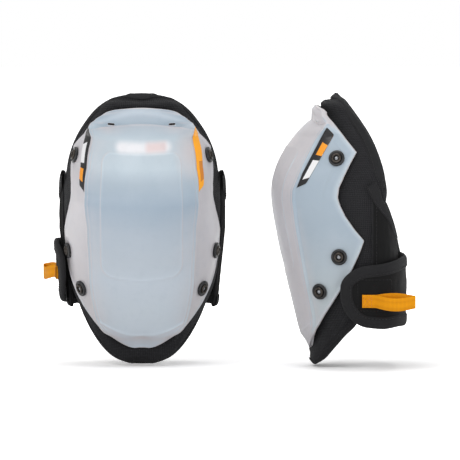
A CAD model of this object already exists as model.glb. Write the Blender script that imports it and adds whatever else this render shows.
# A pair of padded guards, each with a frosted shell in front, a fabric body behind it and a band
# that loops round the back. Shapes are given in millimetres in the frame of one pad:
# x across, y from the shell's front (small y) to the open back (large y), z up.
# The left pad faces world -X. The right pad is mirrored, faces world -Y and leans forward.
import math
from itertools import groupby

import bpy
import numpy as np
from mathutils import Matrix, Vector


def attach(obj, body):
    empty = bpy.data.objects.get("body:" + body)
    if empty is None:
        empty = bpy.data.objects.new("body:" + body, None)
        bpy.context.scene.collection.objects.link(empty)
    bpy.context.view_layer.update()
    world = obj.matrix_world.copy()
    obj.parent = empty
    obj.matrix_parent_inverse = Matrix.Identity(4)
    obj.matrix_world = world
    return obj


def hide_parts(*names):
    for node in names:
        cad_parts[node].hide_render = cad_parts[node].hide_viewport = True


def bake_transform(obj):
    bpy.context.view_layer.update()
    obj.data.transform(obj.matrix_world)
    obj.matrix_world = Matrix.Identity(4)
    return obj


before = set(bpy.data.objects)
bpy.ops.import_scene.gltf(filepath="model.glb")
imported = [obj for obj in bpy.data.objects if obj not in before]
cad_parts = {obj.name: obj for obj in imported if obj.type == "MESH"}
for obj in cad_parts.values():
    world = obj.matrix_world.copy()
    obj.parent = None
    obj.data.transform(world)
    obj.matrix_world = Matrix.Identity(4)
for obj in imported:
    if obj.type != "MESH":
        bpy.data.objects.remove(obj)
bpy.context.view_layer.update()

SIDES = ("left", "right")
MM = 0.001
LEAN = math.radians(8)  # forward lean of the right pad
SLANT = {"left": 0, "right": 19}  # how far the flap's front end rises

# ---------------------------------------------------------------- driving shapes (mm)
# z, half width, y of the rim, y of the front
BODY = [
    (2.5, 14, 46, 42.5), (5, 23, 49.5, 40.6), (9, 31, 54, 39.7), (16, 39, 59.4, 40.3),
    (24, 45.6, 66, 41.6), (33, 52, 73.5, 42.4), (42, 57, 82.5, 41.2), (58, 65, 91.5, 37.8),
    (78, 71.5, 98, 34), (100, 75.2, 102, 29), (130, 77, 104.5, 22.4), (156, 77.3, 109, 18.4),
    (180, 77.2, 113.5, 17), (201, 75.2, 112, 21.5), (219, 70, 107, 30), (228, 66.4, 103.3, 36),
    (237, 61.8, 98.6, 42.5), (246, 56.3, 93, 47.5), (256, 50, 86.2, 51.5), (266, 40.3, 79, 56.6),
    (274, 28.5, 73, 61.5), (279.5, 14, 68.5, 65)]
# z, y of the shell's front
FRONT = [
    (22, 37.2), (26, 35.8), (30.4, 34), (34, 31), (38.5, 28.4), (46.7, 26.2), (54.9, 24.2),
    (71.3, 20.2), (87.6, 16.2), (104, 12.9), (120.3, 8.9), (136.7, 5.7), (153, 2.7), (165, 1),
    (177.6, .2), (190, 1.2), (202, 4.4), (210.3, 7.6), (218.5, 11.8), (226.7, 16.9), (234.9, 23),
    (243, 30), (247, 34), (250, 37.4), (252.5, 40.4), (259, 41.3), (264, 42.6), (267, 45)]
# z, y of the shell's rear edge
EDGE = [
    (22, 38.2), (30, 41), (39.3, 44), (55, 52.4), (70.7, 62.4), (86, 71.9), (103.5, 81.3),
    (120.6, 88.9), (132, 93), (143.3, 83.2), (156.5, 73.7), (168, 68), (175.4, 65.8), (185, 67),
    (198, 72.8), (211.2, 79.4), (221.4, 85.1), (235.4, 73.7), (250, 62.4), (259.5, 54.2),
    (267, 49.4)]
# crease between the shell's dome and its side wall: z, y, share by which it stands out
CREASE = [
    (22, 44, 0), (51, 42.5, .01), (71, 38.8, .02), (94, 34, .03), (121, 29.3, .035),
    (147, 24.6, .06), (172, 21.7, .1), (182, 22, .1), (207, 32, .07), (230, 43.5, .085),
    (246, 54, .12), (254, 57.5, .09), (267, 60, .02)]
# z, exponent of the superellipse section
BODY_ROUNDNESS = [(0, 2.1), (60, 2.08), (130, 2.0), (200, 1.85), (250, 1.6), (280, 1.6)]
CAP_ROUNDNESS = [
    (0, 2.1), (60, 2.08), (130, 2.0), (200, 1.85), (236, 1.68), (250, 2.05), (258, 2.45), (267, 2.6)]
# z, drop of the shell's rear corners
BOW = [(23, -5), (33, -1), (45, 0), (240, 0), (250, .8), (258, 1.5), (267, 2.2)]
# mm behind the loop's centre line (negative) or degrees round it, z of the wing's top
WING_TOP = [(-13, 199), (-9, 197), (-5, 193), (-2, 187), (2, 177), (8, 169), (22, 161), (34, 150),
            (47, 135)]
WING_TOP = list(WING_TOP)
RIVETS = [(66.2, 215.3), (68.6, 115.3), (49, 79.5)]  # y, z
CAP_MARGIN = 3.7  # how far the shell's sides stand off the body
BODY_LOW, BODY_HIGH = BODY[0][0], BODY[-1][0]
BODY_MID_Z = 140  # insets shrink the body towards this height
LOOP_Y = 108  # the band runs straight forward from here, and round the back behind it


# ---------------------------------------------------------------- curves
def spline(table, z, column=1):
    """Cubic through the table's points, held at its ends."""
    last = len(table) - 1
    z = min(max(z, table[0][0]), table[-1][0])
    k = 0
    while k < last - 1 and z > table[k + 1][0]:
        k += 1

    def slope(i, j):
        return (table[j][column] - table[i][column]) / (table[j][0] - table[i][0])
    start, end = table[k][column], table[k + 1][column]
    span = table[k + 1][0] - table[k][0]
    t = (z - table[k][0]) / span
    slope_in, slope_out = slope(max(k - 1, 0), k + 1), slope(k, min(k + 2, last))
    return ((2 * t ** 3 - 3 * t * t + 1) * start + (t ** 3 - 2 * t * t + t) * span * slope_in
            + (3 * t * t - 2 * t ** 3) * end + (t ** 3 - t * t) * span * slope_out)


def linear(table, x, column=1):
    return float(np.interp(x, [row[0] for row in table], [row[column] for row in table]))


def mix(a, b, t):
    return a + (b - a) * t


def ramp(x, start, end):
    """0 at start to 1 at end, flat beyond them."""
    return np.clip((x - start) / (end - start), 0, 1)


def smooth_ramp(x, start, end):
    t = ramp(x, start, end)
    return t * t * (3 - 2 * t)


def gauss(x, centre, width):
    return np.exp(-((x - centre) / width) ** 2)


def inside(distance, sharpness):
    """Soft step: 1 where distance is negative, 0 where it is positive."""
    return 1 / (1 + np.exp(np.clip(distance * sharpness, -30, 30)))


def signed_power(value, exponent):
    return np.sign(value) * np.abs(value) ** exponent


def unit(vector):
    return vector / max(np.linalg.norm(vector), 1e-12)


def arc(points):
    """Length along a row of points, at each of them."""
    return np.concatenate([[0], np.cumsum(np.linalg.norm(np.diff(points, axis=0), axis=1))])


def wave_noise(points, scale, seed):
    """Smooth noise from a few sines, about -1..1."""
    points = np.asarray(points, float)
    total = np.zeros(points.shape[:-1])
    random = np.random.default_rng(seed * 10 + 3)
    for k in range(7):
        direction = random.normal(size=3)
        direction /= np.linalg.norm(direction)
        frequency = (1 + .55 * k) / scale * 2 * math.pi
        phase = random.uniform(0, 6.28)
        total += np.sin(points @ direction * frequency + phase) / (1 + .45 * k)
    return total / 2.6


# ---------------------------------------------------------------- surfaces of one pad
def rim_y(z):
    return spline(BODY, z, 2)


def body_half(z, inset=0):
    half = spline(BODY, z)
    return half - inset * min(1, half / 14)


def body_point(z, angle, inset):
    """Padded body: angle in degrees from the front, inset in mm below the outside."""
    reach = rim_y(z) - spline(BODY, z, 3)
    reach = reach - 1.25 * inset * min(1, reach / 17)
    power = 2 / linear(BODY_ROUNDNESS, z)
    turn = np.radians(angle)
    x = body_half(z, inset) * signed_power(np.sin(turn), power)
    y = rim_y(z) - reach * np.maximum(np.cos(turn), 0) ** power
    height = BODY_MID_Z + (z - BODY_MID_Z) * (1 - inset / BODY_MID_Z)
    return np.stack(np.broadcast_arrays(x, y, height), -1)


def cap_angle(z, y, swell=0):
    """Angle at which the shell's section at z reaches y."""
    reach = (rim_y(z) - spline(FRONT, z)) * (1 + swell)
    cosine = max(0, (rim_y(z) - y) / reach) ** (linear(CAP_ROUNDNESS, z) / 2)
    return math.degrees(math.acos(min(1, cosine)))


def edge_angle(z):
    return max(4, cap_angle(z, linear(EDGE, z)))


def crease_angle(z):
    return min(cap_angle(z, linear(CREASE, z), linear(CREASE, z, 2)), edge_angle(z) - 4)


def crease_swell(z, angle):
    """Share by which the shell stands out, greatest at the crease."""
    size, crease, edge = np.abs(angle), crease_angle(z), edge_angle(z)
    beyond = np.maximum(size - crease, 0) / (edge - crease)
    return linear(CREASE, z, 2) * np.where(
        size <= crease, (size / crease) ** 2, np.maximum(0, 1 - beyond ** 2))


def creased_angle(z, y):
    """As cap_angle, with the crease's swell taken in by iteration."""
    angle = 0
    for _ in range(8):
        angle = cap_angle(z, y, crease_swell(z, angle))
    return angle


def cap_point(z, angle, front, inset=0):
    swell = 1 + crease_swell(z, angle)
    power = 2 / linear(CAP_ROUNDNESS, z)
    turn = np.radians(angle)
    x = ((body_half(z) + CAP_MARGIN) * swell - inset) * signed_power(np.sin(turn), power)
    y = rim_y(z) - ((rim_y(z) - front) * swell - inset) * np.cos(turn) ** power
    return np.stack(np.broadcast_arrays(x, y, z), -1)


def leg_loop(t, z, out):
    """Point `out` mm outside the loop's base surface.

    t runs from the +x side to the -x side: 0..180 are degrees round the back. Below 0 and
    above 180 it counts mm forward of LOOP_Y, on the +x and the -x side.
    """
    radius = 76.5 * (1 + .0013 * (min(z, 130) - 100)) + out
    if 0 <= t <= 180:
        cosine, sine = math.cos(math.radians(t)), math.sin(math.radians(t))
        return np.array([radius * signed_power(cosine, .8), LOOP_Y + (20 + out) * abs(sine) ** .8, z])
    sign, y = (1, LOOP_Y + t) if t < 0 else (-1, LOOP_Y + 180 - t)
    forward = max(0, 102 - y) / (73 + out)
    return np.array([sign * radius * (1 - forward ** 2.03) ** (1 / 2.03), y, z])


def to_world(side, points):
    x, y, z = np.asarray(points, float).reshape(-1, 3).T
    if side == "left":
        return np.stack([44.8 + y, 7.025 - x, z + .094], 1) * MM
    y = y - 46
    cosine, sine = math.cos(LEAN), math.sin(LEAN)
    return np.stack([-x - 87.2, y * cosine - z * sine + 7.025, z * cosine + y * sine + .493], 1) * MM


# ---------------------------------------------------------------- meshes
# A part is (points, faces, uv), with one uv in mm per point.
def build(name, side, part, material, smooth=True, tint=None):
    points, faces, uv = part
    points = to_world(side, points) if side else np.asarray(points, float) * MM
    if side == "right":
        faces = [tuple(reversed(face)) for face in faces]
    mesh = bpy.data.meshes.new(name)
    mesh.from_pydata([tuple(p) for p in points], [], [tuple(int(i) for i in f) for f in faces])
    mesh.update()
    if uv is not None:
        layer = mesh.uv_layers.new(name="mm")
        corners = np.empty(len(mesh.loops), np.int32)
        mesh.loops.foreach_get("vertex_index", corners)
        layer.data.foreach_set("uv", (np.asarray(uv, np.float32)[corners]).ravel())
    if tint is not None:
        attribute = mesh.attributes.new("tint", "FLOAT_COLOR", "POINT")
        colours = np.ones((len(points), 4), np.float32)
        colours[:, :3] = tint
        attribute.data.foreach_set("color", colours.ravel())
    if smooth:
        mesh.polygons.foreach_set("use_smooth", [True] * len(mesh.polygons))
    ob = bpy.data.objects.new(name, mesh)
    bpy.context.scene.collection.objects.link(ob)
    if material:
        mesh.materials.append(material)
    return ob


def apply_modifiers(ob):
    evaluated = ob.evaluated_get(bpy.context.evaluated_depsgraph_get())
    mesh = bpy.data.meshes.new_from_object(evaluated)
    ob.modifiers.clear()
    old, ob.data = ob.data, mesh
    bpy.data.meshes.remove(old)


def register(ob, side, nodes, body):
    if nodes:
        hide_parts(*[f"{side}_{node}" for node in nodes])
    if body:
        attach(ob, f"{side}_{body}")


def place(name, side, part, material, body, nodes=(), subdivide=False):
    ob = build(f"{side}_{name}", side, part, MATERIALS[material])
    if subdivide:
        modifier = ob.modifiers.new("s", "SUBSURF")
        modifier.levels = modifier.render_levels = 1
        modifier.boundary_smooth = "PRESERVE_CORNERS"
        apply_modifiers(ob)
    register(ob, side, nodes, body)
    return ob


def volume(points, faces):
    """Six times the enclosed volume, negative if the faces point inwards."""
    total = 0
    for face in faces:
        for k in range(1, len(face) - 1):
            total += np.dot(points[face[0]], np.cross(points[face[k]], points[face[k + 1]]))
    return total


def outward(points, faces):
    return [tuple(reversed(f)) for f in faces] if volume(points, faces) < 0 else faces


def lattice_uv(along, across):
    return np.stack(np.meshgrid(along, across, indexing="ij"), 2).reshape(-1, 2)


def grid_faces(rows, columns, first=0, flip=False):
    faces = []
    for i in range(rows - 1):
        for j in range(columns - 1):
            a, b = first + i * columns + j, first + (i + 1) * columns + j
            face = (a, a + 1, b + 1, b)
            faces.append(face[::-1] if flip else face)
    return faces


def sheet(outer, inner, uv, lip):
    """Closed panel from two point grids, with an edge rounded by `lip` all round."""
    rows, columns = outer.shape[:2]
    count = rows * columns
    ring = ([(0, j) for j in range(columns)] + [(i, columns - 1) for i in range(1, rows)]
            + [(rows - 1, j) for j in range(columns - 2, -1, -1)]
            + [(i, 0) for i in range(rows - 2, 0, -1)])
    edge, strands = [], []
    for k, (i, j) in enumerate(ring):
        top, bottom = outer[i, j], inner[i, j]
        thickness = np.linalg.norm(top - bottom)
        up = unit(top - bottom)
        out = top - outer[min(max(i, 1), rows - 2), min(max(j, 1), columns - 2)]
        out = unit(out - up * out.dot(up))
        for turn in (math.pi / 4, math.pi / 2, 3 * math.pi / 4):
            edge.append((top + bottom) / 2 + up * thickness / 2 * math.cos(turn)
                        + out * thickness * lip * math.sin(turn))
        corner, first = i * columns + j, 2 * count + 3 * k
        strands.append([corner, first, first + 1, first + 2, count + corner])
    faces = grid_faces(rows, columns) + grid_faces(rows, columns, count, True)
    for a, b in zip(strands, strands[1:] + strands[:1]):
        faces += [(a[m], a[m + 1], b[m + 1], b[m]) for m in range(4)]
    points = np.concatenate([outer.reshape(-1, 3), inner.reshape(-1, 3), edge])
    flat = uv.reshape(-1, 2)
    edge_uv = np.repeat([flat[strand[0]] for strand in strands], 3, axis=0)
    return points, outward(points, faces), np.concatenate([flat, flat + [3.3, 1.7], edge_uv])


def tube(sections, along, across, closed=True):
    """Closed sweep of polygon sections, joined end to end or capped."""
    sections = np.asarray(sections)
    n, m = sections.shape[:2]
    points = sections.reshape(-1, 3)
    faces = []
    for i in range(n if closed else n - 1):
        a, b = i * m, ((i + 1) % n) * m
        for j in range(m):
            k = (j + 1) % m
            faces.append((a + j, b + j, b + k, a + k))
    if not closed:
        faces += [tuple(reversed(range(m))), tuple(range((n - 1) * m, n * m))]
    return points, outward(points, faces), lattice_uv(along, across)


def join(parts):
    points, faces, uv, first = [], [], [], 0
    for part_points, part_faces, part_uv in parts:
        points.append(part_points)
        faces += [tuple(i + first for i in face) for face in part_faces]
        uv.append(part_uv)
        first += len(part_points)
    return np.concatenate(points), faces, np.concatenate(uv)


def stitches(path, normals, pitch=3.5, length=2.4, width=.6, height=.38, closed=False):
    """Row of separate raised stitches along a path."""
    path, normals = np.asarray(path, float), np.asarray(normals, float)
    if closed:
        path, normals = np.concatenate([path, path[:1]]), np.concatenate([normals, normals[:1]])
    s = arc(path)

    def at(x, values):
        return np.array([np.interp(x, s, values[:, axis]) for axis in range(3)])
    points, faces = [], []
    x = pitch * .5
    while x + length < s[-1]:
        first = len(points)
        direction = unit(at(x + length, path) - at(x, path))
        for distance, fullness in ((x, .35), (x + length * .5, 1.0), (x + length, .35)):
            normal = unit(at(distance, normals))
            across = unit(np.cross(direction, normal))
            for a, e in ((-1, -.35), (1, -.35), (.62, .75), (-.62, .75)):
                lift = e * height * (.25 + .75 * fullness if e > 0 else 1)
                points.append(at(distance, path) + normal * lift
                              + across * a * width / 2 * (.55 + .45 * fullness))
        for a in (first, first + 4):
            faces += [(a + j, a + (j + 1) % 4, a + 4 + (j + 1) % 4, a + 4 + j) for j in range(4)]
        faces += [(first + 3, first + 2, first + 1, first),
                  (first + 8, first + 9, first + 10, first + 11)]
        x += pitch
    points = np.array(points)
    # the first stitch, of 12 points and 10 faces, shows which way all of them face
    if volume(points[:12], faces[:10]) < 0:
        faces = [tuple(reversed(face)) for face in faces]
    return points, faces, np.stack([np.arange(len(points)) * .3, np.zeros(len(points))], 1)


def lathe(profile, axes, segments=48):
    """Turn a profile of (radius, height) about the z of axes = (origin, x, y, z)."""
    origin, x, y, z = axes
    sections = []
    for k in range(segments):
        turn = 2 * math.pi * k / segments
        out = x * math.cos(turn) + y * math.sin(turn)
        sections.append([origin + out * radius + z * height for radius, height in profile])
    return tube(sections, np.arange(segments) * .8, np.arange(len(profile)) * .5)


def inflate(grid, held, pressure, frames, limit, flip=False):
    """Cloth run on a point grid, scaled so that the largest move is `limit` mm.

    held is a weight per point, 1 = fixed.
    """
    points = grid.reshape(-1, 3)
    faces = grid_faces(*grid.shape[:2], flip=flip)
    mesh = bpy.data.meshes.new("cloth_tmp")
    mesh.from_pydata([tuple(p * MM) for p in points], [], faces)
    ob = bpy.data.objects.new("cloth_tmp", mesh)
    scene = bpy.context.scene
    scene.collection.objects.link(ob)
    group = ob.vertex_groups.new(name="pin")
    weights = np.round(held.ravel(), 2)
    for weight in sorted(set(weights)):
        if weight > 0:
            group.add([int(i) for i in np.where(weights == weight)[0]], float(weight), "REPLACE")
    cloth = ob.modifiers.new("c", "CLOTH")
    settings = cloth.settings
    settings.quality = 4
    settings.mass = .12
    settings.tension_stiffness = settings.compression_stiffness = 12
    settings.shear_stiffness = 4
    settings.bending_stiffness = .15
    settings.tension_damping = settings.compression_damping = 12
    settings.use_pressure = True
    settings.uniform_pressure_force = pressure
    settings.vertex_group_mass = "pin"
    settings.effector_weights.gravity = 0
    cloth.collision_settings.use_collision = False
    cloth.collision_settings.use_self_collision = False
    cloth.point_cache.frame_start, cloth.point_cache.frame_end = 1, frames
    for f in range(1, frames + 1):
        scene.frame_set(f)
    evaluated = ob.evaluated_get(bpy.context.evaluated_depsgraph_get())
    moved = np.empty(len(points) * 3)
    evaluated.data.vertices.foreach_get("co", moved)
    moved = moved.reshape(-1, 3) / MM
    scene.frame_set(1)
    bpy.data.objects.remove(ob)
    bpy.data.meshes.remove(mesh)
    move = moved - points
    move[~np.isfinite(move)] = 0
    size = np.linalg.norm(move, axis=1)
    top = np.percentile(size, 99.5)
    if top < 1e-6:
        return grid
    return (points + move * (limit / np.maximum(top, size))[:, None]).reshape(grid.shape)


# ---------------------------------------------------------------- shader builder
MATERIALS = {}


def linear_rgb(srgb):
    srgb = np.asarray(srgb)
    return np.where(srgb <= .04045, srgb / 12.92, ((srgb + .055) / 1.055) ** 2.4)


def rgb(code, gain=1):
    """Linear colour from a hex code."""
    return (linear_rgb([int(code[i:i + 2], 16) / 255 for i in (0, 2, 4)]) * gain).tolist()


class Value:
    """Output of a shader node. Arithmetic on it adds Math nodes."""

    def __init__(self, shader, socket):
        self.shader = shader
        self.socket = socket

    def math(self, operation, other=0.0, swap=False):
        first, second = (other, self) if swap else (self, other)
        return self.shader.node("Math", {0: first, 1: second}, operation=operation)

    def __add__(self, other):
        return self.math("ADD", other)

    def __radd__(self, other):
        return self.math("ADD", other, swap=True)

    def __sub__(self, other):
        return self.math("SUBTRACT", other)

    def __mul__(self, other):
        return self.math("MULTIPLY", other)

    def __truediv__(self, other):
        return self.math("DIVIDE", other)

    def __pow__(self, other):
        return self.math("POWER", other)

    def ridge(self, period):
        """Rounded ribs 0..1."""
        return (self * (math.pi / period)).math("SINE").math("ABSOLUTE")

    def between(self, low, high):
        return self.math("GREATER_THAN", low) * self.math("LESS_THAN", high)


class Shader:
    """Node builder round one Principled BSDF. Keyword inputs use _ for a space."""

    def __init__(self, name, roughness, **inputs):
        self.material = MATERIALS[name] = bpy.data.materials.new(name)
        self.material.use_nodes = True
        self.tree = self.material.node_tree
        self.bsdf = next(n for n in self.tree.nodes if n.type == "BSDF_PRINCIPLED")
        self.set(self.bsdf, "Roughness", roughness)
        for key, value in inputs.items():
            self.set(self.bsdf, key.replace("_", " "), value)
        self.object = self.node("TexCoord", out=3)

    def set(self, node, key, value):
        socket = node.inputs[key]
        if isinstance(value, Value):
            self.tree.links.new(value.socket, socket)
        elif isinstance(value, (list, tuple)) and len(value) == 3 and socket.type == "RGBA":
            socket.default_value = (*value, 1)
        else:
            socket.default_value = value

    def node(self, kind, inputs=None, out=0, **properties):
        node = self.tree.nodes.new("ShaderNode" + kind)
        for key, value in properties.items():
            setattr(node, key, value)
        for key, value in (inputs or {}).items():
            self.set(node, key, value)
        return Value(self, node.outputs[out])

    def uv(self):
        return self.node("UVMap", uv_map="mm")

    def xy(self, vector):
        outputs = self.node("SeparateXYZ", {0: vector}).socket.node.outputs
        return Value(self, outputs[0]), Value(self, outputs[1])

    def noise(self, scale, detail=3.0, roughness=.55, coords=None):
        return self.node("TexNoise", {"Vector": coords or self.object, "Scale": scale,
                                      "Detail": detail, "Roughness": roughness})

    def cells(self, scale):
        return self.node("TexVoronoi", {"Vector": self.object, "Scale": scale})

    def mix(self, factor, a, b):
        return self.node("Mix", {0: factor, 6: a, 7: b}, out=2, data_type="RGBA")

    def smooth_range(self, value, low, high, start, end):
        return self.node("MapRange", {0: value, 1: low, 2: high, 3: start, 4: end},
                         interpolation_type="SMOOTHSTEP")

    def finish(self, colour, height=None, relief=0, roughness=None):
        """Connect the results. relief is the bump's depth in mm."""
        self.set(self.bsdf, "Base Color", colour)
        if height is not None:
            bump = {"Height": height, "Distance": relief * MM, "Strength": 1.0}
            self.set(self.bsdf, "Normal", self.node("Bump", bump))
        if roughness is not None:
            self.set(self.bsdf, "Roughness", roughness)
        return self.material


# ---------------------------------------------------------------- materials
def shell_material():
    """Frosted shell: bluish where it faces the eye, warm and pale at a glance."""
    shader = Shader("frosted_shell", .4, Subsurface_Weight=.1, Subsurface_Scale=.004,
                    Subsurface_Radius=(.7, .85, 1.0), IOR=1.48, Coat_Weight=.1,
                    Coat_Roughness=.3, Specular_IOR_Level=.4)
    tint = shader.node("Attribute", attribute_name="tint")
    clouds = shader.noise(scale=16, detail=4, roughness=.6)
    fine = shader.noise(scale=2200, detail=2, roughness=.6)
    mottle = shader.noise(scale=120, detail=3, roughness=.6)
    facing = shader.node("LayerWeight", {"Blend": .5}, out=1)
    glance = shader.smooth_range(facing + (clouds - .5) * .12, low=.13, high=.46, start=0.0, end=1.0)
    warm = shader.mix(clouds, rgb("C9C2C3"), rgb("CFCBCF"))
    colour = shader.mix(glance * .86, tint, warm)
    colour = shader.mix((clouds - .42) * .4, colour, rgb("D8DCE2"))
    colour = shader.mix((mottle - .5) * .3, colour, rgb("8FA0AE"))
    shader.finish(colour, fine * .35 + mottle * .65, relief=.035, roughness=.34 + mottle * .14)


def gel_material():
    shader = Shader("gel", .22, Transmission_Weight=.35, IOR=1.42, Subsurface_Weight=.4,
                    Subsurface_Scale=.01, Subsurface_Radius=(.4, .7, 1.0))
    clouds = shader.noise(scale=60, detail=4)
    colour = shader.mix(clouds, rgb("8FB6D8"), rgb("BFD6E8"))
    shader.finish(colour, clouds + shader.cells(scale=170.0), relief=.2)


def film_material():
    shader = Shader("printed_film", .4)
    blotches = shader.noise(scale=220, detail=3)
    print_colour = shader.mix(shader.noise(scale=45, detail=2), rgb("F0B070"), rgb("E8C8C0"))
    shader.finish(shader.mix(blotches, rgb("F3F2F0"), print_colour), blotches, relief=.02)


LABEL_BAR_ACROSS = (4.5, 13.0)
LABEL_BARS_ALONG = ((8, 30), (36, 50))


def label_material(name, base, bars):
    """Plain label with coloured bars."""
    shader = Shader(name, .38, Coat_Weight=.25, Coat_Roughness=.2)
    grain = shader.noise(scale=500, detail=3)
    colour = shader.mix(grain, rgb(base), rgb(base, gain=1.25))
    across, along = shader.xy(shader.uv())
    for bar, span in zip(bars, LABEL_BARS_ALONG):
        mask = across.between(*LABEL_BAR_ACROSS) * along.between(*span)
        colour = shader.mix(mask, colour, rgb(bar))
    shader.finish(colour, grain, relief=.03, roughness=.3 + grain * .15)


def metal_material(name, dark, light, rough, scale=400):
    shader = Shader(name, rough, Metallic=1.0)
    grain = shader.noise(scale=scale, detail=4, roughness=.6)
    wear = shader.noise(scale=scale * .18, detail=3)
    shader.finish(shader.mix(grain, rgb(dark), rgb(light)), grain, relief=.05,
                  roughness=rough - .1 + wear * .3)


def plastic_material(name, dark, light, rough):
    shader = Shader(name, rough, Coat_Weight=.1, Coat_Roughness=.3)
    grain = shader.noise(scale=900, detail=3, roughness=.6)
    clouds = shader.noise(scale=45, detail=3)
    shader.finish(shader.mix(clouds, rgb(dark), rgb(light)), grain, relief=.04,
                  roughness=rough - .08 + grain * .16)


def weave(shader, pitch):
    """Plain weave height: over and under threads."""
    x, y = shader.xy(shader.uv())
    warp, weft = x / pitch, y / pitch
    parity = (warp.math("FLOOR") + weft.math("FLOOR")).math("PINGPONG", 1.0)
    warp_rib, weft_rib = warp.ridge(1), weft.ridge(1)
    over = warp_rib ** .5 * (.45 + weft_rib * .55)
    under = weft_rib ** .5 * (.45 + warp_rib * .55)
    return shader.node("Mix", {0: parity, 2: over, 3: under})


def cloth_material(name, dark, light, pitch, relief, sheen):
    rough = .85
    shader = Shader(name, rough, Sheen_Weight=sheen, Sheen_Roughness=.5, Specular_IOR_Level=.2)
    height = weave(shader, pitch)
    patches = shader.noise(scale=28, detail=3)
    fibres = shader.noise(scale=2600, detail=2)
    colour = shader.mix(height, rgb(dark), rgb(light))
    colour = shader.mix((patches - .35) * .5, colour, rgb(light, gain=.62))
    shader.finish(colour, height * 1.0 + fibres * .4, relief, rough - .08 + fibres * .16)


def rib_material(name, dark, light, period, relief, rough=.8, sheen=.05, cross=None, wear=None):
    """Tape or webbing: ribs across its length, with fine yarns along it."""
    shader = Shader(name, rough, Sheen_Weight=sheen, Sheen_Roughness=.45, Specular_IOR_Level=.2)
    along, across = shader.xy(shader.uv())
    ribs, yarns = along.ridge(period), across.ridge(cross or period * .6)
    height = ribs ** .6 * .75 + yarns * .25
    fibres = shader.noise(scale=2400, detail=2)
    patches = shader.noise(scale=35, detail=3)
    colour = shader.mix(height, rgb(dark), rgb(light))
    colour = shader.mix((patches - .35) * .45, colour, rgb(wear or dark))
    shader.finish(colour, height + fibres * .35, relief, rough - .08 + fibres * .16)


def knit_material(name, dark, light):
    """Smooth jersey faced neoprene."""
    shader = Shader(name, .78, Sheen_Weight=.06, Sheen_Roughness=.4, Specular_IOR_Level=.2)
    uv = shader.uv()
    x, y = shader.xy(uv)
    wobble = shader.noise(scale=.35, detail=2, coords=uv) * .5
    columns, courses = (x + wobble).ridge(.62), y.ridge(.8)
    height = (columns * .6 + courses * .4) * 1.0
    fibres = shader.noise(scale=1500, detail=3, roughness=.7)
    patches = shader.noise(scale=22, detail=4)
    colour = shader.mix((height + fibres) * .5, rgb(dark), rgb(light))
    colour = shader.mix((patches - .4) * .8, colour, rgb(light, gain=1.5))
    shader.finish(colour, height + fibres, relief=.12, roughness=.68 + patches * .2)


def pile_material(name, dark, light, scale, relief):
    shader = Shader(name, .95, Sheen_Weight=.5, Sheen_Roughness=.6)
    tufts = shader.cells(scale)
    fibres = shader.noise(scale=scale * 2.2, detail=4, roughness=.7)
    colour = shader.mix(tufts * .9 + fibres * .3, rgb(light), rgb(dark))
    shader.finish(colour, fibres - tufts, relief)


def foam_material():
    shader = Shader("foam", .95)
    pores = shader.cells(scale=1100.0)
    colour = shader.mix(pores, rgb("4A4A4E"), rgb("2B2B2E"))
    shader.finish(colour, pores + shader.noise(scale=300, detail=4), relief=.25)


shell_material()
gel_material()
film_material()
label_material("dark_label", "121214", bars=("E9E9EA", "F39A12"))
label_material("orange_label", "FAA60A", bars=("D98206",))
metal_material("rivet_metal", "3A3634", "5C5650", rough=.3)
metal_material("pin_metal", "8A8C90", "B4B6BA", rough=.25)
plastic_material("washer_plastic", "121213", "1E1E20", rough=.36)
metal_material("washer_steel", "8A8C8F", "B0B2B5", rough=.35, scale=700)
cloth_material("woven_fabric", "020202", "313134", pitch=1.9, relief=.7, sheen=.05)
foam_material()
cloth_material("cushion_fabric", "111215", "2B2C30", pitch=.9, relief=.25, sheen=.15)
cloth_material("lining_fabric", "0E0E10", "262629", pitch=1.6, relief=.4, sheen=.12)
rib_material("binding_tape", "060607", "2C2C2E", period=1.25, relief=.34)
knit_material("neoprene", "090909", "151516")
pile_material("loop_pile", "141416", "3A3A3D", scale=1500.0, relief=.5)
pile_material("hook_pile", "101012", "34343A", scale=900.0, relief=.6)
rib_material("orange_webbing", "C87400", "F8A600", period=1.35, relief=.3, rough=.62, sheen=.0,
             cross=2.0, wear="B86200")
rib_material("thread", "141415", "343436", period=.5, relief=.1, rough=.6, sheen=.1)
rib_material("thread_orange", "C46A00", "F0951A", period=.5, relief=.1, rough=.6, sheen=.3)

# ---------------------------------------------------------------- frosted shell
SHELL_HEIGHTS = np.concatenate([
    np.linspace(22, 60, 30, endpoint=False), np.linspace(60, 238, 118, endpoint=False),
    np.linspace(238, 266.4, 52)])
SHELL_LOW, SHELL_HIGH = 22, 267
SHELL_COLUMNS = np.linspace(-1, 1, 241)  # share of the angle to the rear edge
SHELL_MID = len(SHELL_COLUMNS) // 2
# z, red, green, blue (sRGB, 0..255) of the shell where it faces the eye
SHELL_COLOURS = [
    (22, 198, 208, 218), (60, 197, 207, 216), (90, 194, 204, 214), (115, 186, 196, 206),
    (146, 174, 186, 198), (172, 154, 171, 187), (196, 168, 182, 194), (210, 188, 201, 210),
    (238, 181, 194, 203), (250, 152, 169, 182), (262, 166, 178, 190)]
# raised outline of the front panel
PANEL_HALF, PANEL_LOW, PANEL_HIGH, PANEL_CORNER = 42.5, 100.0, 224.5, 11.0


def panel_distance(z, away):
    """Signed distance from the panel's rounded outline, negative inside it."""
    z = z + 5 * (1 - (away / PANEL_HALF) ** 2) * (z < 120)
    dx = away - (PANEL_HALF - PANEL_CORNER)
    dz = np.abs(z - (PANEL_LOW + PANEL_HIGH) / 2) - ((PANEL_HIGH - PANEL_LOW) / 2 - PANEL_CORNER)
    corner = np.hypot(np.maximum(dx, 0), np.maximum(dz, 0))
    return corner + np.minimum(np.maximum(dx, dz), 0) - PANEL_CORNER


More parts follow.
